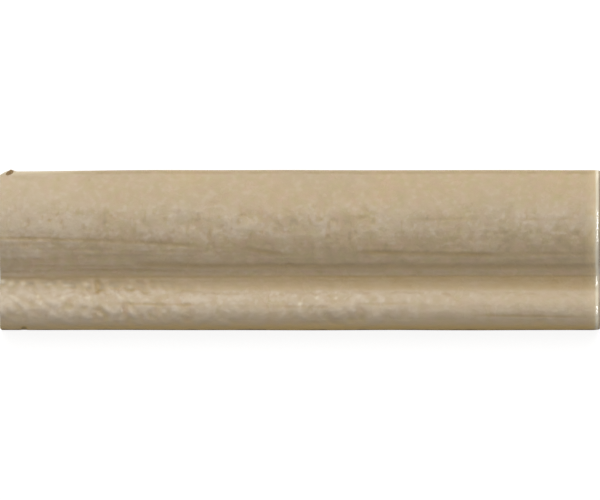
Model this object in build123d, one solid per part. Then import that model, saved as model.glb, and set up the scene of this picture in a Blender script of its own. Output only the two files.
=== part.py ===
from build123d import *
import os
from math import sqrt

# Glazed ceramic trim tile: a moulded rail, with a wide torus over a narrow bead, lying on its back.
# X runs along the length, Y across the width from the bead's edge to the torus's edge,
# and Z up from the bedding face. The origin is the middle of the bedding face.
# Sizes are in millimetres.

# Overall size
LENGTH = 150.0
WIDTH = 40.0
DEPTH = 16.0  # bedding face to the torus's crest

# Torus, the wide round along the upper edge
SHOULDER_RUN = 13.0  # upper edge back to the crest
UPPER_EDGE_HEIGHT = 10.5  # bedding face to the upper arris, before it is rounded

# Bead, the narrow round along the lower edge
BEAD_RADIUS = 5.5
BEAD_HEIGHT = 12.5  # bedding face to the bead's crest

# Cove, the hollow that runs from the bead into the torus
COVE_RADIUS = 4.0
COVE_HEIGHT = 10.0  # bedding face to the bottom of the hollow

# Arrises of the glazed face, along the upper edge and round both ends
ARRIS_RADIUS = 1.0

# Keys, the channels along the bedding face that the adhesive grips
KEY_COUNT = 4
KEY_PITCH = 9.0
KEY_WIDTH = 4.5  # at the mouth
KEY_DEPTH = 1.2
KEY_WALL_ANGLE = 70.0  # degrees from the bedding face


def point_between(start, end, start_radius, end_radius):
    """Where two circles touch, on the straight line between their centres."""
    return start + (end - start) * (start_radius / (start_radius + end_radius))


def moulded_section():
    """Section of the tile in Y and Z: bead, cove and torus flow into each other."""
    lower_edge = -WIDTH / 2
    upper_edge = WIDTH / 2
    torus_edge = Vector(upper_edge, UPPER_EDGE_HEIGHT)
    torus_crest = Vector(upper_edge - SHOULDER_RUN, DEPTH)
    bead_centre = Vector(lower_edge + BEAD_RADIUS, BEAD_HEIGHT - BEAD_RADIUS)
    bead_side = bead_centre - Vector(BEAD_RADIUS, 0)

    # The cove's circle stands on the hollow's bottom and touches the bead's circle.
    cove_rise = COVE_HEIGHT + COVE_RADIUS - bead_centre.Y
    cove_run = sqrt((BEAD_RADIUS + COVE_RADIUS) ** 2 - cove_rise**2)
    cove_centre = bead_centre + Vector(cove_run, cove_rise)
    cove_bottom = cove_centre - Vector(0, COVE_RADIUS)

    # The torus's inner flank is level at the crest and touches the cove's circle.
    flank_run = torus_crest.X - cove_bottom.X
    flank_drop = torus_crest.Y - cove_bottom.Y
    flank_radius = (flank_run**2 + flank_drop**2) / (2 * flank_drop) - COVE_RADIUS
    flank_centre = torus_crest - Vector(0, flank_radius)

    bead_to_cove = point_between(bead_centre, cove_centre, BEAD_RADIUS, COVE_RADIUS)
    cove_to_torus = point_between(cove_centre, flank_centre, COVE_RADIUS, flank_radius)

    with BuildSketch(Plane.YZ) as section:
        with BuildLine():
            Polyline(torus_edge, (upper_edge, 0), (lower_edge, 0), bead_side)
            TangentArc(bead_side, bead_to_cove, tangent=(0, 1))
            ThreePointArc(bead_to_cove, cove_bottom, cove_to_torus)
            TangentArc(torus_crest, cove_to_torus, tangent=(-1, 0))
            TangentArc(torus_crest, torus_edge, tangent=(1, 0))
        make_face()
    return section.sketch


def key_sections():
    """Sections of the keys in Y and Z, narrowing upwards from the bedding face."""
    with BuildSketch(Plane.YZ) as keys:
        with GridLocations(KEY_PITCH, 0, KEY_COUNT, 1):
            Trapezoid(KEY_WIDTH, KEY_DEPTH, KEY_WALL_ANGLE, align=(Align.CENTER, Align.MIN))
    return keys.sketch


def glazed_arrises(rail):
    """Edges to round: the upper arris, and each end's edges but the one on the bedding face."""
    torus_edge = (0, WIDTH / 2, UPPER_EDGE_HEIGHT)
    upper_arris = rail.edges().filter_by(Axis.X).sort_by_distance(torus_edge)[0]
    ends = rail.faces().filter_by(Axis.X)
    end_edges = [edge for end in ends for edge in end.edges().sort_by(Axis.Z)[1:]]
    return [upper_arris, *end_edges]


def trim_tile():
    """The tile, one fired piece: the moulded rail with its arrises rounded and its keys cut."""
    rail = extrude(moulded_section(), LENGTH / 2, both=True)
    rail = fillet(glazed_arrises(rail), ARRIS_RADIUS)
    return rail - extrude(key_sections(), LENGTH / 2, both=True)


os.makedirs("parts", exist_ok=True)
export_step(trim_tile(), "parts/trim_tile.step")
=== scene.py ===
import math

import bmesh
import bpy
import numpy as np
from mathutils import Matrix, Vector, noise

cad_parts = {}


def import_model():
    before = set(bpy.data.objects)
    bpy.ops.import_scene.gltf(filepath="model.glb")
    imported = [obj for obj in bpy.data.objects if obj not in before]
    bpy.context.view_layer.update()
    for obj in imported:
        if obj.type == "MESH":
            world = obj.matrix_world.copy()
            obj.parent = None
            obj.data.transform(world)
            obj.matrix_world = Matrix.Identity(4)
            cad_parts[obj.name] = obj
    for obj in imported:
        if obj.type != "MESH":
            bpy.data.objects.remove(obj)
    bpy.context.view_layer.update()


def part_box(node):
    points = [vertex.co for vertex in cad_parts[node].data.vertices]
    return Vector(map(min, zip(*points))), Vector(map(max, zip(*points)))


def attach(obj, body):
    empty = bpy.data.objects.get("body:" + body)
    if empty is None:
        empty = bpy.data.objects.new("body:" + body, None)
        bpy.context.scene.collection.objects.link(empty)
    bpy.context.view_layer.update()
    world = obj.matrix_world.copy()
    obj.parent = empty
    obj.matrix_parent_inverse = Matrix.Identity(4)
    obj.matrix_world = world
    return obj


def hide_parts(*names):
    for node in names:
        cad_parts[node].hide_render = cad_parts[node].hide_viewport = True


# Looks of a glazed ceramic trim tile: the dressed tile, a white floor, soft light and a camera.
# Sizes on the tile are in millimetres, in the frame of the model: X along the tile,
# Y across it from the bead's edge to the torus's edge, Z up from the bedding face.

MM = 0.001
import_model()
LOW, HIGH = (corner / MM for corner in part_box("trim_tile"))
LENGTH, WIDTH, DEPTH = HIGH - LOW

# Section of the moulding
SHOULDER_RUN = 13.0
UPPER_EDGE_HEIGHT = 10.5
BEAD_RADIUS = 5.5
BEAD_HEIGHT = 12.5
COVE_RADIUS = 4.0
COVE_HEIGHT = 10.0
ARRIS_RADIUS = 1.0

# Keys in the bedding face
KEY_COUNT = 4
KEY_PITCH = 9.0
KEY_WIDTH = 4.5
KEY_DEPTH = 1.2
KEY_WALL_ANGLE = math.radians(70)
KEY_CORNERS = 4

# Fineness of the mesh
ACROSS_STEP = 0.3
LEAST_ARC_STEPS = 8
WALL_STEP = 0.7
ALONG_STEP = 0.4
CHIP_STEP = 0.2
CHIP_STRETCH = 7.0
END_STEPS = 10
QUAD_CORNERS = 4
WELD = 0.001
SHARP_ANGLE = math.radians(38)

# Rounding of the ends: how far it runs along X at the left and right end, and how it tightens
# towards the long edges, which leaves the corners square from above
LEFT_RUN = 0.1
RIGHT_RUN = 2.4
TIGHT_ZONE = (16.5, 19.0)
TIGHT_SHARE = 0.75

# Upper edge, drawn in towards the left end
WANE_DEPTH = 0.37
WANE_FROM = -35.0
WANE_INNER = 16.0

# Lumps and grain in the glaze, and how strongly they show across the tile: place in Y, share
LUMPS_ACROSS = [
    (-20.0, 0.0), (-19.2, 0.2), (-18.0, 1.1), (-15.0, 1.3), (-11.0, 1.2), (-9.8, 0.3), (-6.5, 0.2),
    (-4.0, 0.75), (-1.0, 0.9), (4.0, 1.0), (9.0, 0.9), (13.0, 0.4), (19.0, 0.25), (20.0, 0.0),
]
LUMP_LENGTH = 2.3
LUMP_WIDTH = 3.6
LUMP_LEAN = math.radians(15)
LUMP_HEIGHT = 0.26
GRAIN_SIZE = 1.2
GRAIN_HEIGHT = 0.09
PATCH_LENGTH = 24.0
PATCH_WIDTH = 12.0
PATCH_MEAN = 0.85
PATCH_SPREAD = 0.7
SWELL_SIZE = 26.0
SWELL_HEIGHT = 0.12

# Heights above the bedding face between which the relief of the glaze fades in
RELIEF_FOOT = (1.0, 4.0)

# Calmer glaze on the right half of the bead, and at the right end
CALM_BEAD = 0.25
CALM_SPECKS = 0.5
CALM_ALONG = (5.0, 50.0)
CALM_END = (73.0, 69.0)

# Fine lines dragged along the inner flank, stronger towards the left end
DRAG_LENGTH = 16.0
DRAG_WIDTH = 0.9
DRAG_HEIGHT = 0.1
DRAG_ZONE = (-1.5, 5.0)
DRAG_AT_RIGHT = 0.55

# Long lumps that lean across the bead's left end, and scallops where they meet the hollow, with painted
# highlights and shade on them
BEAD_EDGE = (-7.2, -8.4)
LOWER_EDGE = (-20.0, -15.5)
HAMMER_LENGTH = 2.6
HAMMER_WIDTH = 1.5
HAMMER_HEIGHT = 0.28
HAMMER_LEAN = math.radians(-60)
HAMMER_ALONG = (-15.0, -48.0)
SCALLOP_PLACE = -8.4
SCALLOP_WIDTH = 0.8
SCALLOP_LIGHT_AND_SHADE = 1.6
SCALLOP_SHADE = 0.55

# Streaks left by the die: depth, width, how far it is broken up, and the places in X and Y on its way
STREAKS = [
    (0.08, 0.45, 0.3, [(-85.0, 3.2), (-60.0, 2.6), (-42.5, 2.1), (-27.5, 1.1)]),
    (0.11, 0.55, 0.2, [(-13.5, 0.4), (-9.0, -0.6), (-4.3, -1.0)]),
    (0.13, 0.55, 0.4, [(15.0, -0.5), (22.0, -0.7), (48.5, -1.2)]),
    (0.05, 0.60, 0.6, [(48.5, -0.9), (85.0, -0.9)]),
    (0.04, 0.40, 0.8, [(28.3, 7.7), (42.5, 7.7)]),
    (0.03, 0.40, 0.8, [(53.3, 7.7), (68.5, 7.7)]),
    (0.07, 0.35, 0.6, [(-45.3, -13.4), (-26.3, -13.7)]),
    (0.04, 0.35, 0.8, [(-9.0, -14.0), (8.3, -14.3)]),
    (0.04, 0.35, 0.8, [(15.0, -13.4), (27.5, -13.4)]),
    (0.065, 0.3, 0.5, [(45.3, -16.3), (70.0, -16.7)]),
    (0.1, 0.65, 0.3, [(-40.0, -3.6), (-26.0, -4.0), (85.0, -4.1)]),
    (0.05, 0.45, 0.7, [(-85.0, -7.0), (-66.0, -7.2), (-58.0, -7.4)]),
    (0.06, 0.40, 0.5, [(-60.0, -6.8), (-40.0, -6.8), (-10.0, -6.6), (85.0, -6.5)]),
    (0.05, 0.25, 0.8, [(-85.0, 19.4), (85.0, 19.4)]),
]
STREAK_FADE = 3.0
STREAK_BREAK = 4.0
STREAK_MEAN = 0.6
STREAK_SPREAD = 1.2

# A raised lip along the lower side of each streak, with a painted highlight on it
LIP_OFFSET = 0.7
LIP_SHARE = 0.35
LIP_HIGHLIGHT = 4.5

# Dents in the glaze: place in X and Y, radii in X and Y, depth
DENTS = [
    (-62.5, 7.4, 0.45, 0.4, 0.09),
    (-52.7, 17.5, 0.3, 0.3, 0.05),
    (-59.6, 7.0, 0.35, 0.6, 0.06),
    (-48.6, 6.8, 0.4, 0.5, 0.06),
    (-47.2, 8.5, 0.4, 0.5, 0.05),
    (-41.6, 5.0, 0.8, 0.6, 0.05),
    (-33.7, 7.8, 0.35, 0.35, 0.05),
    (-20.2, 8.2, 0.4, 0.4, 0.05),
    (-14.3, 8.7, 0.6, 0.35, 0.05),
    (-9.6, 4.4, 0.5, 0.5, 0.06),
    (5.4, 7.6, 0.5, 0.4, 0.06),
    (6.8, 3.5, 0.5, 0.6, 0.05),
    (8.4, 7.6, 0.5, 0.4, 0.06),
    (12.5, 3.5, 0.5, 1.0, 0.05),
    (15.4, 8.2, 1.0, 0.5, 0.08),
    (-50.6, -9.0, 0.6, 1.8, 0.14),
    (-69.0, -19.7, 0.65, 0.45, 0.2),
]

# Streaks and dents pool glaze and take painted shade with their depth: the depth that is fully pooled,
# and painted shade per millimetre
FULL_CUT = 0.14
CUT_SHADE = 9.0

# The hollow: sharp at the left end, where its lower edge slopes in waves, filled and soft at the right
THIN_ALONG = (-10.0, -62.0)
SLOPE_ALONG = [(-75.0, 0.3), (-65.0, 0.2), (-60.0, 0.0), (-52.0, -0.7), (-40.0, -1.0), (-20.0, -1.2)]
WAVE_LENGTH = 4.0
WAVE_HEIGHT = 0.7
QUIRK_PLACE = -7.6
QUIRK_WIDTH = 0.7
QUIRK_CUT = 0.12
# Painted shade along the sharp bottom of the hollow
QUIRK_SHADE = 0.5
QUIRK_POOL = 0.15
ROLL_PLACE = -9.4
ROLL_WIDTH = 1.5
ROLL_HEIGHT = 0.18
FILL_PLACE = -7.2
FILL_WIDTH = 2.4
FILL_HEIGHT = 0.3

# Pooled glaze in the hollow and along the lower margin
POOL_UPPER = (-5.9, -6.9)
POOL_LOWER = (-10.7, -9.4)
POOL_ALONG = [(-75.0, 0.05), (-60.0, 0.15), (-35.0, 0.33), (-5.0, 0.55), (15.0, 0.7)]
POOL_UNEVEN = 0.6
MARGIN_POOL = (-18.8, -19.9)
MARGIN_ALONG = [(-60.0, 0.0), (0.0, 0.15), (40.0, 0.25)]

# Paler glaze on the crests, partly thin glaze and partly painted sheen, with painted shade at the foot
# of the flank: place, share
PALE_SHEEN_AND_SHADE_ACROSS = [
    (-20.0, 0.0), (-18.0, 0.2), (-16.5, 0.3), (-15.2, 0.4), (-14.0, 0.3), (-11.6, 0.36),
    (-11.1, 0.5), (-10.7, 0.6), (-10.35, 0.45), (-10.0, 0.25), (-9.2, 0.05), (-6.4, 0.0),
    (-5.4, 0.08), (-4.7, 0.0), (-4.0, -0.14), (-3.0, -0.08), (0.0, -0.02),
    (6.0, 0.22), (10.0, 0.2), (13.0, 0.05), (17.0, 0.0), (20.0, 0.0),
]
# Painted sheen towards the left end, and painted shade on the right end's far side: place in X, share
SHEEN_AND_SHADE_ALONG = [
    (-75.0, 0.0), (-74.75, 0.3), (-63.0, 0.3), (-52.0, 0.1), (-20.0, 0.08), (0.0, 0.0),
    (72.0, 0.0), (74.4, 0.1), (74.65, -0.4), (74.8, -1.0),
]
# Painted highlights and shade that go with the lumps, the hammered lumps and the dragged lines, and a
# darker left bead
LUMP_LIGHT_AND_SHADE = 0.4
HAMMER_LIGHT_AND_SHADE = 0.7
DRAG_LIGHT_AND_SHADE = 0.5
PALE_BEAD = -0.06

# Painted highlights on the lumps, as pale specks: place in Y, share
SPECK_HIGHLIGHTS_ACROSS = [
    (-18.0, 0.1), (-14.5, 0.6), (-11.0, 1.0), (-9.5, 0.2), (-3.0, 0.1),
    (0.0, 0.5), (8.0, 0.7), (12.0, 0.3), (16.0, 0.2), (19.0, 0.1),
]
SPECK_SIZE = 1.1
SPECK_FROM = (0.22, 0.5)
SPECK_SHARE = 0.55

# Painted highlights along the bead's crest, as pale dabs: place in X, share
DAB_HIGHLIGHTS_ALONG = [(-45.0, 0.0), (-35.0, 0.45), (20.0, 0.45), (45.0, 0.2), (70.0, 0.1)]
DAB_LENGTH = 1.3
DAB_WIDTH = 2.2
DAB_LEAN = math.radians(25)
DAB_FROM = (0.08, 0.4)
DAB_ZONE = (-12.4, 0.9)

# Dark smudges of painted shade, and blotches of random tone, down the torus: place in Y, share
SMUDGES_ACROSS = [(-3.0, 0.0), (0.0, 0.5), (4.0, 0.7), (8.0, 1.0), (10.0, 0.5), (13.0, 0.0)]
SMUDGE_LENGTH = 1.3
SMUDGE_WIDTH = 2.4
SMUDGE_FROM = (0.2, 0.55)
SMUDGE_SHADE = 0.6
BLOTCH_LENGTH = 8.0
BLOTCH_WIDTH = 5.0
BLOTCH_SHARE = 0.5

# Soft mottling where the glaze is smooth: place in Y, share
MOTTLE_ACROSS = [
    (-17.0, 0.0), (-10.5, 0.02), (-9.5, 0.13), (-6.0, 0.14), (-3.0, 0.05), (9.0, 0.02),
    (12.5, 0.13), (19.5, 0.15),
]
MOTTLE_SIZE = 2.4

# Painted warm bounce light from below, round the bead's lower side: place in Y, share
WARM_BOUNCE_ACROSS = [(-20.0, 1.0), (-19.2, 0.8), (-18.4, 0.25), (-17.0, 0.0)]

# Edges where the glaze is drawn off, nearly white and with a painted highlight on them: the right end's
# arris, and the upper left rim
EDGE_ALONG = [(73.85, 0.0), (74.05, 1.0), (74.5, 1.0), (74.72, 0.0)]
RIM_EDGE = (18.3, 20.0)
RIM_EDGE_SHARE = 0.55
RIM_EDGE_ALONG = (-48.0, -68.0)

# Painted sheen on the way to the right arris, part warm and part white: place, share
GLOW_ALONG = [(71.0, 0.0), (72.8, 0.09), (73.4, 0.18), (73.9, 0.42), (74.05, 0.0)]
GLOW_ACROSS = [
    (-20.0, 1.5), (-14.5, 1.4), (-12.5, 0.9), (-10.0, 0.9), (-8.0, 1.3), (-5.0, 1.4),
    (-2.0, 2.6), (3.0, 2.8), (10.0, 2.3), (12.5, 0.9),
]
GLOW_WARM = 0.95
GLOW_EDGE = 0.75

# Glints on the bead, single pale specks: place in X and Y, radii in X and Y, share
GLINTS = [
    (0.0, -13.5, 0.5, 0.45, 0.8),
    (4.2, -11.8, 0.45, 0.5, 0.5),
    (9.0, -12.0, 0.5, 0.4, 0.5),
    (-74.4, -7.9, 0.7, 0.5, 0.6),
    (-72.3, -8.4, 0.6, 0.6, 0.35),
    (-69.0, -8.4, 0.9, 0.4, 0.25),
    (-62.8, -8.6, 1.0, 0.4, 0.3),
    (-58.3, -8.9, 1.1, 0.4, 0.35),
    (-53.3, -8.6, 0.9, 0.5, 0.3),
    (-47.3, -9.4, 0.8, 0.5, 0.25),
    (-42.5, -9.2, 0.7, 0.6, 0.25),
    (-71.8, -11.5, 0.9, 0.5, 0.3),
    (-70.8, -12.6, 0.6, 0.5, 0.3),
    (-65.5, -11.5, 0.5, 0.6, 0.45),
    (-64.8, -13.2, 0.45, 0.6, 0.3),
    (-59.2, -12.0, 0.8, 0.5, 0.35),
    (-53.0, -11.8, 0.8, 0.5, 0.4),
    (-51.8, -15.4, 0.7, 0.5, 0.25),
    (-44.8, -11.8, 0.8, 0.5, 0.35),
    (-42.2, -12.6, 0.6, 0.5, 0.25),
]
GLINT_HEIGHT = 0.1

# Where the glaze ends, with a thick lip on the lower wall, and the clay is bare
LOWER_GLAZE_LINE = 8.4
UPPER_GLAZE_LINE = 6.0
END_GLAZE_RUN = 0.5
END_BARE = 0.7
END_INSET = 0.5
END_FOOT = (1.5, 5.0)
FAR_INSIDE = 5.0
GLAZE_THICKNESS = 0.05
LOWER_LIP = 0.06
LOWER_LIP_WIDTH = 0.4

# Chips, as balls knocked out of the clay: centre, radii
CHIPS = [((-69.0, -20.0, 9.3), (0.5, 0.42, 1.0))]
CHIP_UNEVEN = 0.25
CHIP_GRAIN = 0.7
CHIP_REACH = 1.5
CHIP_SHARP = 8.0

# Worn corners of the left end: sides in X and Y, how far the wear runs along X and Y
WORN_CORNERS = [((-1, 1), (2.0, 1.3)), ((-1, -1), (0.4, 0.5))]

# A crumb of bare clay that stands out of the upper edge by the left corner
CRUMB = (-72.5, 19.45)
CRUMB_RADII = (1.1, 0.55)
CRUMB_LEAN = math.radians(30)
CRUMB_HEIGHT = 0.65
CRUMB_UNEVEN = 0.6
CRUMB_GRAIN = 0.5
CRUMB_BARE = 0.35
CRUMB_SHARP = 3.0
CRUMB_FOOT = (8.6, 9.5)

# Seeds of the noises
LUMP_SEED, GRAIN_SEED, SWELL_SEED, PATCH_SEED = 1.3, 2.6, 3.7, 4.2
HAMMER_SEED, BREAK_SEED, DRAG_SEED, SPECK_SEED, SMUDGE_SEED = 5.9, 6.4, 7.3, 8.6, 9.8
BLOTCH_SEED, MOTTLE_SEED, CRUMB_SEED, DAB_SEED, WAVE_SEED = 10.7, 11.4, 12.2, 13.5, 14.1


def smooth_step(value, low, high):
    """0 at low, 1 at high, and an even S between them; low may be the larger."""
    share = np.clip((value - low) / (high - low), 0, 1)
    return share * share * (3 - 2 * share)


def ridge(value, centre, width):
    """A bell of height 1 round the centre."""
    return np.exp(-(((value - centre) / width) ** 2))


def spot(face, place, radii):
    """A round bell of height 1 about a place in X and Y."""
    return ridge(face.x, place[0], radii[0]) * ridge(face.y, place[1], radii[1])


def graph(value, knots):
    """The height of a graph drawn through the knots."""
    return np.interp(value, *zip(*knots))


# Section

def line_run(start, end, normal):
    """Points and outward normals along a straight wall of the section."""
    count = math.ceil(math.dist(start, end) / WALL_STEP) + 1
    points = np.linspace(start, end, count)
    return points, np.tile(normal, (count, 1))


def arc_run(centre, radius, start, end, side):
    """Points and outward normals along an arc; side is 1 where it bulges and -1 where it is hollow."""
    count = max(LEAST_ARC_STEPS, math.ceil(radius * abs(end - start) / ACROSS_STEP)) + 1
    angles = np.linspace(start, end, count)
    spokes = np.column_stack([np.cos(angles), np.sin(angles)])
    return centre + radius * spokes, side * spokes


def direction(start, end):
    """Angle of the line from start to end."""
    return math.atan2(end[1] - start[1], end[0] - start[0])


def glazed_section():
    """Points and outward normals of the outline, from the lower wall's foot to the upper wall's foot."""
    lower, upper = -WIDTH / 2, WIDTH / 2
    crest = np.array([upper - SHOULDER_RUN, DEPTH])
    bead = np.array([lower + BEAD_RADIUS, BEAD_HEIGHT - BEAD_RADIUS])

    cove_rise = COVE_HEIGHT + COVE_RADIUS - bead[1]
    cove_run = math.sqrt((BEAD_RADIUS + COVE_RADIUS) ** 2 - cove_rise**2)
    cove = bead + [cove_run, cove_rise]

    flank_run = crest[0] - cove[0]
    flank_drop = DEPTH - COVE_HEIGHT
    flank_radius = (flank_run**2 + flank_drop**2) / (2 * flank_drop) - COVE_RADIUS
    flank = crest - [0, flank_radius]

    shoulder_drop = DEPTH - UPPER_EDGE_HEIGHT
    shoulder_radius = (SHOULDER_RUN**2 + shoulder_drop**2) / (2 * shoulder_drop)
    shoulder = crest - [0, shoulder_radius]

    arris_run = SHOULDER_RUN - ARRIS_RADIUS
    arris_rise = math.sqrt((shoulder_radius - ARRIS_RADIUS) ** 2 - arris_run**2)
    arris = shoulder + [arris_run, arris_rise]

    bead_end = direction(bead, cove)
    cove_end = direction(cove, flank)
    shoulder_end = direction(shoulder, arris)
    runs = [
        line_run((lower, 0), (lower, bead[1]), (-1, 0)),
        arc_run(bead, BEAD_RADIUS, math.pi, bead_end, 1),
        arc_run(cove, COVE_RADIUS, bead_end - math.pi, cove_end, -1),
        arc_run(flank, flank_radius, cove_end + math.pi, math.pi / 2, 1),
        arc_run(shoulder, shoulder_radius, math.pi / 2, shoulder_end, 1),
        arc_run(arris, ARRIS_RADIUS, shoulder_end, 0, 1),
        line_run((upper, arris[1]), (upper, 0), (1, 0)),
    ]
    points = np.concatenate([run[0][:-1] for run in runs] + [runs[-1][0][-1:]])
    normals = np.concatenate([run[1][:-1] for run in runs] + [runs[-1][1][-1:]])
    return points, normals


def back_section():
    """Points of the bedding face with its keys, from the upper wall to the lower one, feet left out."""
    key_top = KEY_WIDTH / 2 - KEY_DEPTH / math.tan(KEY_WALL_ANGLE)
    first = KEY_PITCH * (KEY_COUNT - 1) / 2
    points = []
    for number in range(KEY_COUNT):
        middle = first - KEY_PITCH * number
        points += [
            (middle + KEY_WIDTH / 2, 0),
            (middle + key_top, KEY_DEPTH),
            (middle - key_top, KEY_DEPTH),
            (middle - KEY_WIDTH / 2, 0),
        ]
    return np.array(points)


def stations():
    """Places along the tile where the section is drawn, and how far the face has turned there."""
    left, right = LEFT_RUN - LENGTH / 2, LENGTH / 2 - RIGHT_RUN
    turn = np.linspace(0, math.pi / 2, END_STEPS + 1)[1:]
    fine = np.arange(left, left + CHIP_STRETCH, CHIP_STEP)
    coarse = np.linspace(fine[-1] + CHIP_STEP, right, math.ceil((right - fine[-1]) / ALONG_STEP))
    middle = np.concatenate([fine, coarse])
    left_end = left - LEFT_RUN * np.sin(turn[::-1])
    right_end = right + RIGHT_RUN * np.sin(turn)
    places = np.concatenate([left_end, middle, right_end])
    turns = np.concatenate([-turn[::-1], np.zeros(len(middle)), turn])
    return places, turns


# Relief of the glaze

class Face:
    """The glazed face as a grid: stations along the tile by points across its section."""

    def __init__(self, along, points):
        steps = np.linalg.norm(np.diff(points, axis=0), axis=1)
        self.along = along
        self.across = np.concatenate([[0], np.cumsum(steps)])
        self.x = along[:, None]
        self.y, self.z = points[None, :, 0], points[None, :, 1]
        self.thin = smooth_step(self.x, *THIN_ALONG)
        waves = np.array([noise.noise(Vector((x / WAVE_LENGTH, 0, WAVE_SEED))) for x in along])
        self.slope = graph(self.x, SLOPE_ALONG) + WAVE_HEIGHT * waves[:, None]

    def clouds(self, length, width, seed, lean=0.0):
        """Soft lumps from about -1 to 1, of the given size, turned by the lean."""
        turn = np.array([[math.cos(lean), math.sin(lean)], [-math.sin(lean), math.cos(lean)]])
        turn = turn / [[length], [width]]
        grid = np.stack(np.meshgrid(self.along, self.across, indexing="ij"), axis=-1) @ turn.T
        flat = [noise.noise(Vector((u, v, seed))) for u, v in grid.reshape(-1, 2)]
        return np.array(flat).reshape(grid.shape[:2])


def lump_relief(face):
    """Height of the lumps, grain and dragged lines in the glaze, and the highlights and shade painted on
    them.
    """
    patches = PATCH_MEAN + PATCH_SPREAD * face.clouds(PATCH_LENGTH, PATCH_WIDTH, PATCH_SEED)
    lumps = LUMP_HEIGHT * face.clouds(LUMP_LENGTH, LUMP_WIDTH, LUMP_SEED, LUMP_LEAN)
    lumps += GRAIN_HEIGHT * face.clouds(GRAIN_SIZE, GRAIN_SIZE, GRAIN_SEED)
    on_bead = smooth_step(face.y, *BEAD_EDGE)
    calm = 1 - CALM_BEAD * on_bead * smooth_step(face.x, *CALM_ALONG)
    smooth_end = smooth_step(face.x, *CALM_END)
    lumps *= graph(face.y, LUMPS_ACROSS) * patches * calm * smooth_end

    bead = smooth_step(face.x, *HAMMER_ALONG) * on_bead * smooth_step(face.y, *LOWER_EDGE)
    hammered = bead * face.clouds(HAMMER_LENGTH, HAMMER_WIDTH, HAMMER_SEED, HAMMER_LEAN)
    flank = (DRAG_AT_RIGHT + (1 - DRAG_AT_RIGHT) * face.thin) * ridge(face.y, *DRAG_ZONE)
    dragged = flank * smooth_end * face.clouds(DRAG_LENGTH, DRAG_WIDTH, DRAG_SEED)
    height = lumps + HAMMER_HEIGHT * hammered + DRAG_HEIGHT * dragged
    pale = LUMP_LIGHT_AND_SHADE * lumps / LUMP_HEIGHT + HAMMER_LIGHT_AND_SHADE * hammered + DRAG_LIGHT_AND_SHADE * dragged
    edge = ridge(face.y, SCALLOP_PLACE + face.slope, SCALLOP_WIDTH)
    scallops = edge * (SCALLOP_LIGHT_AND_SHADE * hammered - SCALLOP_SHADE * bead)
    return height, pale + PALE_BEAD * bead + scallops


def quirk_bell(face):
    """A bell of height 1 along the sharp bottom of the hollow."""
    return ridge(face.y, QUIRK_PLACE + face.slope, QUIRK_WIDTH)


def hollow_relief(face):
    """Glaze that fills the cove at the right end and leaves it sharp at the left."""
    roll = ROLL_HEIGHT * ridge(face.y, ROLL_PLACE + face.slope, ROLL_WIDTH)
    quirk = QUIRK_CUT * quirk_bell(face)
    fill = FILL_HEIGHT * ridge(face.y, FILL_PLACE, FILL_WIDTH)
    return face.thin * (roll - quirk) + (1 - face.thin) * fill


def streak_cuts(face):
    """Depth of the streaks and height of their lips at each point of the face."""
    cuts, lips = 0, 0
    for number, (depth, width, broken, places) in enumerate(STREAKS):
        start, end = places[0][0], places[-1][0]
        window = smooth_step(face.x, start - STREAK_FADE, start + STREAK_FADE)
        window = window * smooth_step(face.x, end + STREAK_FADE, end - STREAK_FADE)
        whole = [noise.noise(Vector((x / STREAK_BREAK, number, BREAK_SEED))) for x in face.along]
        whole = np.clip(STREAK_MEAN + STREAK_SPREAD * np.array(whole)[:, None], 0, 1)
        strength = depth * window * (1 - broken * (1 - whole))
        middle = graph(face.x, places)
        cuts = cuts + strength * ridge(face.y, middle, width)
        lips = lips + LIP_SHARE * strength * ridge(face.y, middle - LIP_OFFSET, width)
    return cuts, lips


def dent_cuts(face):
    """Depth of the single dents at each point of the face."""
    return sum(depth * spot(face, (x, y), (rx, ry)) for x, y, rx, ry, depth in DENTS)


def edge_wane(face):
    """How far the upper edge is drawn in."""
    left = smooth_step(face.x, WANE_FROM, -LENGTH / 2)
    return WANE_DEPTH * left * smooth_step(face.y, WANE_INNER, WIDTH / 2)


def glints(face):
    """Shares of the single pale specks."""
    return sum(share * spot(face, (x, y), (rx, ry)) for x, y, rx, ry, share in GLINTS)


# Colour of the glaze

def pooled_share(face, cuts, mottle):
    """How far the glaze has pooled and darkened at each point."""
    cove = smooth_step(face.y, *POOL_UPPER) * smooth_step(face.y, *POOL_LOWER)
    cove = cove * graph(face.x, POOL_ALONG) * (1 + POOL_UNEVEN * mottle)
    quirk = face.thin * QUIRK_POOL * quirk_bell(face)
    margin = graph(face.x, MARGIN_ALONG) * smooth_step(face.y, *MARGIN_POOL)
    return np.clip(cuts / FULL_CUT + cove + quirk + margin, 0, 1)


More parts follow.
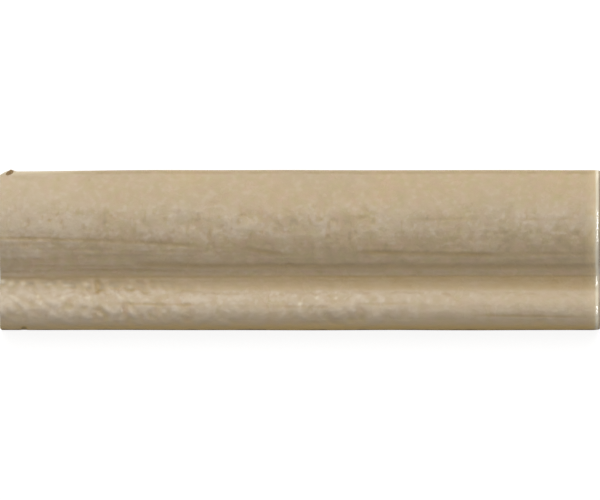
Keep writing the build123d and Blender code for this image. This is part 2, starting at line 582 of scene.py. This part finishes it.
def tone_and_light_share(face, relief, mottle):
    """How far the glaze is pale at each point, below zero where it is dark, painted light and shade
    included; the relief adds to it.
    """
    grain = face.clouds(SPECK_SIZE, SPECK_SIZE, SPECK_SEED)
    calm = 1 - CALM_SPECKS * smooth_step(face.y, *BEAD_EDGE) * smooth_step(face.x, *CALM_ALONG)
    specks = SPECK_SHARE * smooth_step(grain, *SPECK_FROM) * graph(face.y, SPECK_HIGHLIGHTS_ACROSS) * calm
    dabs = smooth_step(face.clouds(DAB_LENGTH, DAB_WIDTH, DAB_SEED, DAB_LEAN), *DAB_FROM)
    dabs = dabs * graph(face.x, DAB_HIGHLIGHTS_ALONG) * ridge(face.y, *DAB_ZONE)
    mottle = (mottle + grain) * graph(face.y, MOTTLE_ACROSS)
    smudges = smooth_step(face.clouds(SMUDGE_LENGTH, SMUDGE_WIDTH, SMUDGE_SEED), *SMUDGE_FROM)
    blotches = face.clouds(BLOTCH_LENGTH, BLOTCH_WIDTH, BLOTCH_SEED)
    dark = (SMUDGE_SHADE * smudges - BLOTCH_SHARE * blotches) * graph(face.y, SMUDGES_ACROSS)
    dark = dark + QUIRK_SHADE * face.thin * quirk_bell(face)
    pale = graph(face.x, SHEEN_AND_SHADE_ALONG) + graph(face.y, PALE_SHEEN_AND_SHADE_ACROSS)
    return np.clip(pale + relief + specks + dabs + mottle - dark, -1, 1)


def end_glow(face):
    """How far sheen is painted on the way to the right arris."""
    return graph(face.x, GLOW_ALONG) * graph(face.y, GLOW_ACROSS)


def warm_light_share(face):
    """How far warm light is painted at each point: bounce from below round the bead's lower side, and
    sheen near the right arris.
    """
    return np.clip(graph(face.y, WARM_BOUNCE_ACROSS) + GLOW_WARM * end_glow(face), 0, 1)


def break_and_highlight_share(face):
    """How far each point is nearly white: drawn-off glaze with a painted highlight on the edges, painted
    sheen by the right arris, and glints.
    """
    end = graph(face.x, EDGE_ALONG) + GLOW_EDGE * end_glow(face)
    rim = RIM_EDGE_SHARE * smooth_step(face.x, *RIM_EDGE_ALONG) * smooth_step(face.y, *RIM_EDGE)
    return np.clip(end + rim + glints(face), 0, 1)


# Damage and bare clay

def ray_to_shell(start, ray, radii):
    """How far a ray that starts inside an ellipsoid about the origin goes to its shell."""
    p, d = start / radii, ray / radii
    along = p @ d
    reach = d @ d
    return (math.sqrt(along**2 + reach * (1 - p @ p)) - along) / reach


def chip_depth(corners, outward):
    """How far each point is knocked in against its normal by the chips."""
    depth = np.zeros(corners.shape[:-1])
    for centre, radii in CHIPS:
        offset = corners - np.array(centre)
        near = np.argwhere((np.abs(offset) < CHIP_REACH * np.array(radii)).all(-1))
        for place in map(tuple, near):
            uneven = 1 + CHIP_UNEVEN * noise.noise(Vector(corners[place] / CHIP_GRAIN))
            size = uneven * np.array(radii)
            if ((offset[place] / size) ** 2).sum() < 1:
                depth[place] = max(depth[place], ray_to_shell(offset[place], -outward[place], size))
    return depth


def worn_corners(points):
    """The points, with those beyond a worn corner drawn in to it."""
    for sides, runs in WORN_CORNERS:
        inside = (np.array([LENGTH, WIDTH]) / 2 - points[..., :2] * sides) / runs
        beyond = np.clip(1 - inside.sum(-1, keepdims=True), 0, None) / 2
        points = points - beyond * [*np.multiply(sides, runs), 0]
    return points


def crumb_bell(face):
    """A long bell of height 1 where the crumb stands, leaning with it."""
    x, y = face.x - CRUMB[0], face.y - CRUMB[1]
    along = x * math.cos(CRUMB_LEAN) + y * math.sin(CRUMB_LEAN)
    across = y * math.cos(CRUMB_LEAN) - x * math.sin(CRUMB_LEAN)
    bell = ridge(along, 0, CRUMB_RADII[0]) * ridge(across, 0, CRUMB_RADII[1])
    return bell * smooth_step(face.z, *CRUMB_FOOT)


def crumb_relief(face):
    """Height of the crumb, which is rough."""
    rough = 1 + CRUMB_UNEVEN * face.clouds(CRUMB_GRAIN, CRUMB_GRAIN, CRUMB_SEED)
    return CRUMB_HEIGHT * crumb_bell(face) * rough


def bare_distance(face, turns, chips):
    """How far inside bare clay each point lies; below zero it is glazed."""
    lower = np.where(face.y < -WIDTH / 2 + BEAD_RADIUS, LOWER_GLAZE_LINE - face.z, -FAR_INSIDE)
    upper = np.where(face.y > WIDTH / 2 - ARRIS_RADIUS, UPPER_GLAZE_LINE - face.z, -FAR_INSIDE)
    ends = ARRIS_RADIUS * (np.abs(turns[:, None]) - math.pi / 2) - END_GLAZE_RUN
    knocked = np.where(chips > 0, CHIP_SHARP * (chips - GLAZE_THICKNESS), -FAR_INSIDE)
    crumb = CRUMB_SHARP * (crumb_bell(face) - CRUMB_BARE)
    return np.maximum.reduce(np.broadcast_arrays(lower, upper, ends, knocked, crumb))


# Mesh

def beside(values, others):
    """Two grids joined across the section."""
    return np.concatenate([values, others], axis=1)


def capped(values, caps):
    """A grid with one more station at each end."""
    return np.concatenate([caps[:1], values, caps[1:]])


def layered(along, section):
    """The section repeated at each station, as points in X, Y and Z."""
    shape = np.broadcast(along[:, None], section[..., 0]).shape
    columns = [along[:, None], section[..., 0], section[..., 1]]
    return np.stack([np.broadcast_to(column, shape) for column in columns], axis=-1)


def glazed_face(along, turns, points, normals):
    """Points of the glazed face, with the numbers that its material reads."""
    face = Face(along, points)
    lumps, lump_light_and_shade = lump_relief(face)
    streaks, lips = streak_cuts(face)
    dents = dent_cuts(face)
    mottle = face.clouds(MOTTLE_SIZE, MOTTLE_SIZE, MOTTLE_SEED)
    swell = SWELL_HEIGHT * face.clouds(SWELL_SIZE, SWELL_SIZE, SWELL_SEED)
    relief = lumps + hollow_relief(face) + swell + GLINT_HEIGHT * glints(face) + lips - streaks - dents
    relief = relief + LOWER_LIP * ridge(face.y, -WIDTH / 2, LOWER_LIP_WIDTH)
    relief = relief * smooth_step(face.z, *RELIEF_FOOT) + crumb_relief(face)

    tight = TIGHT_SHARE * smooth_step(np.abs(face.y), *TIGHT_ZONE)
    inset = (1 - np.cos(turns))[:, None] * ARRIS_RADIUS * (1 - tight) + edge_wane(face)
    outward = layered(np.sin(turns), np.cos(turns)[:, None, None] * normals)
    corners = layered(along, points - inset[..., None] * normals)
    corners = corners + outward * (relief * np.cos(turns)[:, None])[..., None]

    chips = chip_depth(corners, outward)
    corners = corners - outward * chips[..., None]
    cuts = streaks + dents
    marks = {
        "pooled": pooled_share(face, cuts, mottle),
        "pale": tone_and_light_share(face, lump_light_and_shade + LIP_HIGHLIGHT * lips - CUT_SHADE * cuts, mottle),
        "warm": warm_light_share(face),
        "edge": break_and_highlight_share(face),
        "bare": bare_distance(face, turns, chips),
    }
    return corners, marks


def end_caps(ring, normals):
    """Both end sections, drawn in a little from the glazed edge."""
    ends = ring[[0, -1]]
    outward = np.zeros(ring.shape[1:])
    outward[:len(normals), 1:] = normals
    return ends - END_INSET * smooth_step(ends[..., 2:], *END_FOOT) * outward


def tile_mesh():
    """The dressed tile as one closed mesh."""
    along, turns = stations()
    points, normals = glazed_section()
    corners, marks = glazed_face(along, turns, points, normals)
    ring = beside(corners, layered(along, back_section()[None]))
    ring = worn_corners(capped(ring, end_caps(ring, normals)))
    index = np.arange(ring[..., 0].size).reshape(ring.shape[:2])
    near, far = index[:-1], index[1:]
    quads = np.stack([near, np.roll(near, -1, 1), np.roll(far, -1, 1), far], axis=-1)
    ends = [index[0].tolist(), index[-1].tolist()]
    vertices = (ring * MM).reshape(-1, 3).tolist()
    faces = quads.reshape(-1, QUAD_CORNERS).tolist() + ends

    mesh = bpy.data.meshes.new("glazed_tile")
    mesh.from_pydata(vertices, [], faces)
    for name, values in marks.items():
        layer = mesh.attributes.new(name, "FLOAT", "POINT")
        back, cap = (FAR_INSIDE, END_BARE) if name == "bare" else (0.0, 0.0)
        whole = beside(values, np.full((len(along), KEY_COUNT * KEY_CORNERS), back))
        whole = capped(whole, np.full((2, whole.shape[1]), cap))
        layer.data.foreach_set("value", whole.ravel().astype(np.float32))
    finish_mesh(mesh)
    return mesh


def finish_mesh(mesh):
    """Welds the caps, cuts the flat ends into triangles, and smooths the mesh between sharp edges."""
    work = bmesh.new()
    work.from_mesh(mesh)
    bmesh.ops.remove_doubles(work, verts=work.verts, dist=WELD * MM)
    ends = [face for face in work.faces if len(face.verts) > QUAD_CORNERS]
    bmesh.ops.triangulate(work, faces=ends)
    bmesh.ops.recalc_face_normals(work, faces=work.faces)
    for edge in work.edges:
        edge.smooth = edge.calc_face_angle(0) < SHARP_ANGLE
    for face in work.faces:
        face.smooth = True
    work.to_mesh(mesh)
    work.free()


# Materials

class Shading:
    """Adds nodes to a tree; an input is fed by a plain value or by another node's output."""

    def __init__(self, tree):
        self.tree = tree

    def node(self, kind, feeds=(), **settings):
        """A node with its settings made and its inputs fed, by name or by number."""
        made = self.tree.nodes.new(kind)
        for name, value in settings.items():
            setattr(made, name, value)
        for name, value in dict(feeds).items():
            self.feed(made.inputs[name], value)
        return made

    def feed(self, socket, value):
        """Links an output to the socket, or sets a plain value."""
        if isinstance(value, bpy.types.NodeSocket):
            self.tree.links.new(value, socket)
        else:
            socket.default_value = value

    def mark(self, name):
        """A number kept on the mesh."""
        return self.node("ShaderNodeAttribute", attribute_name=name).outputs["Fac"]

    def clouds(self, place, scale, detail, stretch=(1, 1, 1)):
        """Noise from 0 to 1; scale is in lumps per metre."""
        spread = self.node("ShaderNodeMapping", {"Vector": place, "Scale": stretch}).outputs["Vector"]
        feeds = {"Vector": spread, "Scale": scale, "Detail": detail}
        return self.node("ShaderNodeTexNoise", feeds).outputs["Fac"]

    def spread(self, value, low, high, to_low=0.0, to_high=1.0):
        """The value's range from low to high, mapped to another range and held there."""
        feeds = {"Value": value, "From Min": low, "From Max": high, "To Min": to_low, "To Max": to_high}
        return self.node("ShaderNodeMapRange", feeds).outputs["Result"]

    def mix(self, share, first, second, kind="FLOAT"):
        """A value between the first and the second."""
        feeds = {"Factor": share, "A": first, "B": second}
        return self.node("ShaderNodeMix", feeds, data_type=kind).outputs["Result"]

    def blend(self, share, first, second):
        """A colour between the first and the second."""
        return self.mix(share, first, second, "RGBA")

    def maths(self, operation, first, second):
        """Two numbers put together."""
        return self.node("ShaderNodeMath", {0: first, 1: second}, operation=operation).outputs["Value"]


# Colours of the glaze and the clay, and of the warm light, highlights, sheen and shade painted on the
# glaze
GLAZE_ROSY = (0.6, 0.42, 0.275, 1)
GLAZE_YELLOW = (0.54, 0.435, 0.22, 1)
GLAZE_DULL = (0.5, 0.405, 0.28, 1)
# A bright warm colour painted where bounce light and sheen fall
GLAZE_WARM_LIGHT = (0.92, 0.65, 0.27, 1)
GLAZE_PALE_AND_HIGHLIGHT = (0.68, 0.57, 0.44, 1)
GLAZE_SHADOW = (0.4, 0.315, 0.2, 1)
GLAZE_POOLED = (0.48, 0.34, 0.155, 1)
GLAZE_BREAK_AND_HIGHLIGHT = (0.97, 0.88, 0.69, 1)
CLAY = (0.44, 0.31, 0.17, 1)
CLAY_DARK = (0.31, 0.21, 0.11, 1)

# Patterns: lumps per metre and detail of a noise, and the part of its range that is used
HUE_NOISE = (420.0, 3.0)
HUE_RANGE = (0.28, 0.72)
DULL_NOISE = (70.0, 3.0)
DULL_RANGE = (0.3, 0.8)
DULL_MOST = 0.6
GLOSS_NOISE = (160.0, 2.0)
GLOSS_RANGE = (0.3, 0.7)
FINE_NOISE = (1300.0, 2.0)
SCRAPE_NOISE = (500.0, 3.0)
SCRAPE_STRETCH = (0.08, 1, 1)
SCRAPE_RANGE = (0.35, 0.7)
GRIT_NOISE = (1500.0, 4.0)
GRIT_RANGE = (0.3, 0.7)
WOBBLE_NOISE = (260.0, 3.0)
WOBBLE_RANGE = (0.25, 0.75)

# Edge of the glaze: how far it wanders and how soft it is, in millimetres
WOBBLE_REACH = (-0.5, 0.5)
BARE_SOFT = (-0.05, 0.05)

# Roughness, specular level, and bump of the fine grain
GLAZE_ROUGHNESS = (0.18, 0.3)
EDGE_ROUGHNESS = 0.1
CLAY_ROUGHNESS = (0.8, 0.95)
GLAZE_SPECULAR = 0.5
EDGE_SPECULAR = 1.0
EDGE_BRIGHT = (0.5, 1.0)
CLAY_SPECULAR = 0.1
BUMP_STRENGTH = 0.4
BUMP_DISTANCE = 0.0002


def glaze_look(shade, place):
    """Colour, with painted light and shade in it, roughness and height of the glaze."""
    hue = shade.spread(shade.clouds(place, *HUE_NOISE), *HUE_RANGE)
    dull = shade.spread(shade.clouds(place, *DULL_NOISE), *DULL_RANGE, 0.0, DULL_MOST)
    colour = shade.blend(hue, GLAZE_ROSY, GLAZE_YELLOW)
    colour = shade.blend(dull, colour, GLAZE_DULL)
    # Painted warm light: bounce from below round the bead's lower side, and sheen near the right arris
    colour = shade.blend(shade.mark("warm"), colour, GLAZE_WARM_LIGHT)
    # Pale tone with painted highlights and sheen above zero, painted shade below zero
    colour = shade.blend(shade.spread(shade.mark("pale"), 0, 1), colour, GLAZE_PALE_AND_HIGHLIGHT)
    colour = shade.blend(shade.spread(shade.mark("pale"), 0, -1), colour, GLAZE_SHADOW)
    colour = shade.blend(shade.mark("pooled"), colour, GLAZE_POOLED)
    # Drawn-off glaze with painted highlights on the edges, painted sheen by the right arris, and glints
    colour = shade.blend(shade.mark("edge"), colour, GLAZE_BREAK_AND_HIGHLIGHT)
    roughness = shade.spread(shade.clouds(place, *GLOSS_NOISE), *GLOSS_RANGE, *GLAZE_ROUGHNESS)
    roughness = shade.mix(shade.mark("edge"), roughness, EDGE_ROUGHNESS)
    return colour, roughness, shade.clouds(place, *FINE_NOISE)


def clay_look(shade, place):
    """Colour, roughness and height of the bare fired clay."""
    scrape = shade.clouds(place, *SCRAPE_NOISE, SCRAPE_STRETCH)
    grit = shade.clouds(place, *GRIT_NOISE)
    colour = shade.blend(shade.spread(scrape, *SCRAPE_RANGE), CLAY, CLAY_DARK)
    roughness = shade.spread(grit, *GRIT_RANGE, *CLAY_ROUGHNESS)
    return colour, roughness, shade.maths("ADD", scrape, grit)


def tile_material():
    """Glossy glaze, with matt clay where it ends or is chipped."""
    material = bpy.data.materials.new("beige_glaze")
    material.use_nodes = True
    shade = Shading(material.node_tree)
    shader = material.node_tree.nodes["Principled BSDF"]
    place = shade.node("ShaderNodeTexCoord").outputs["Object"]

    wobble = shade.spread(shade.clouds(place, *WOBBLE_NOISE), *WOBBLE_RANGE, *WOBBLE_REACH)
    bare = shade.spread(shade.maths("ADD", shade.mark("bare"), wobble), *BARE_SOFT)
    # Matt where the clay is bare and where warm light is painted
    matt = shade.maths("MAXIMUM", bare, shade.mark("warm"))
    bright = shade.spread(shade.mark("edge"), *EDGE_BRIGHT)
    gloss = shade.mix(bright, GLAZE_SPECULAR, EDGE_SPECULAR)

    glaze_colour, glaze_roughness, glaze_height = glaze_look(shade, place)
    clay_colour, clay_roughness, clay_height = clay_look(shade, place)
    height = shade.mix(bare, glaze_height, clay_height)
    feeds = {"Strength": BUMP_STRENGTH, "Distance": BUMP_DISTANCE, "Height": height}
    bump = shade.node("ShaderNodeBump", feeds)

    shade.feed(shader.inputs["Base Color"], shade.blend(bare, glaze_colour, clay_colour))
    shade.feed(shader.inputs["Roughness"], shade.mix(matt, glaze_roughness, clay_roughness))
    shade.feed(shader.inputs["Specular IOR Level"], shade.mix(matt, gloss, CLAY_SPECULAR))
    shade.feed(shader.inputs["Normal"], bump.outputs["Normal"])
    return material


# Stage, light and camera

WHITE = (1, 1, 1)

# Floor and world, with lengths in metres
FLOOR_HALF = 3.0
FLOOR_DROP = 0.0001
FLOOR_GREY = (0.45, 0.45, 0.45, 1)
FLOOR_LIFT = 0.82
WORLD_FILL = 0.22

# Lamps: name, place and sides in metres, watts, colour
LAMPS = [
    ("key", (0, 0.92, 0.77), (1.4, 1.9), 12.2, (1, 0.965, 0.87)),
    ("overhead", (0, -0.1, 1.1), (0.8, 0.5), 1.2, WHITE),
    ("left_fill", (-0.9, 0.1, 0.5), (0.5, 0.5), 0.5, WHITE),
]
END_GLOSS = ("end_gloss", (0.64, -0.08, 0.58), (0.6, 0.14), 3.2, WHITE)

# Camera: lens, sensor and the height of the outline it fits in millimetres, reach in metres
LENS = 1000.0
SENSOR = 36.0
OUTLINE_HEIGHT = 9.0
FARTHEST = 20.0


def seen_rays(shade):
    """1 for rays from the camera, or mirrored or passed on by a surface, and 0 for the rest."""
    path = shade.node("ShaderNodeLightPath").outputs
    seen = shade.maths("MAXIMUM", path["Is Camera Ray"], path["Is Glossy Ray"])
    return shade.maths("MAXIMUM", seen, path["Is Transmission Ray"])


def placed(name, data):
    """A new object in the scene."""
    piece = bpy.data.objects.new(name, data)
    bpy.context.scene.collection.objects.link(piece)
    return piece


def floor_material():
    """Grey that is lifted to white where it is seen, so that a shadow still shows on it."""
    material = bpy.data.materials.new("white_floor")
    material.use_nodes = True
    tree = material.node_tree
    shade = Shading(tree)
    tree.nodes.remove(tree.nodes["Principled BSDF"])
    grey = shade.node("ShaderNodeBsdfDiffuse", {"Color": FLOOR_GREY}).outputs["BSDF"]
    lift = shade.spread(seen_rays(shade), 0, 1, 0, FLOOR_LIFT)
    glow = shade.node("ShaderNodeEmission", {"Strength": lift}).outputs["Emission"]
    both = shade.node("ShaderNodeAddShader", {0: grey, 1: glow}).outputs["Shader"]
    shade.feed(tree.nodes["Material Output"].inputs["Surface"], both)
    return material


def floor():
    """A wide white floor."""
    sides = ((-1, -1), (1, -1), (1, 1), (-1, 1))
    corners = [(x * FLOOR_HALF, y * FLOOR_HALF, -FLOOR_DROP) for x, y in sides]
    mesh = bpy.data.meshes.new("floor")
    mesh.from_pydata(corners, [], [(0, 1, 2, 3)])
    mesh.materials.append(floor_material())
    placed("floor", mesh)


def lamp(name, place, sides, watts, colour):
    """A soft area lamp that points at the tile."""
    data = bpy.data.lights.new(name, "AREA")
    data.shape = "RECTANGLE"
    data.size, data.size_y = sides
    data.energy = watts
    data.color = colour
    piece = placed(name, data)
    piece.location = place
    piece.rotation_euler = (-Vector(place)).to_track_quat("-Z", "Y").to_euler()
    piece.visible_camera = False
    return piece


def lamps():
    """The soft lamps, and one that shows only in the gloss of the right end."""
    for settings in LAMPS:
        lamp(*settings)
    lamp(*END_GLOSS).visible_diffuse = False


def world():
    """Even light from all round, white where it is seen or mirrored."""
    sky = bpy.data.worlds.new("studio")
    bpy.context.scene.world = sky
    sky.use_nodes = True
    shade = Shading(sky.node_tree)
    background = sky.node_tree.nodes["Background"]
    background.inputs["Color"].default_value = (*WHITE, 1)
    shade.feed(background.inputs["Strength"], shade.spread(seen_rays(shade), 0, 1, WORLD_FILL, 1))


def camera():
    """A long lens straight above, with the tile's length filling the picture's width."""
    data = bpy.data.cameras.new("camera")
    data.lens = LENS
    data.sensor_width = SENSOR
    data.clip_end = FARTHEST
    piece = placed("camera", data)
    piece.location = (0, 0, (LENGTH * LENS / SENSOR + OUTLINE_HEIGHT) * MM)
    bpy.context.scene.camera = piece


tile = placed("glazed_tile", tile_mesh())
tile.data.materials.append(tile_material())
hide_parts("trim_tile")
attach(tile, "root")

floor()
world()
lamps()
camera()
bpy.context.scene.view_settings.view_transform = "Standard"
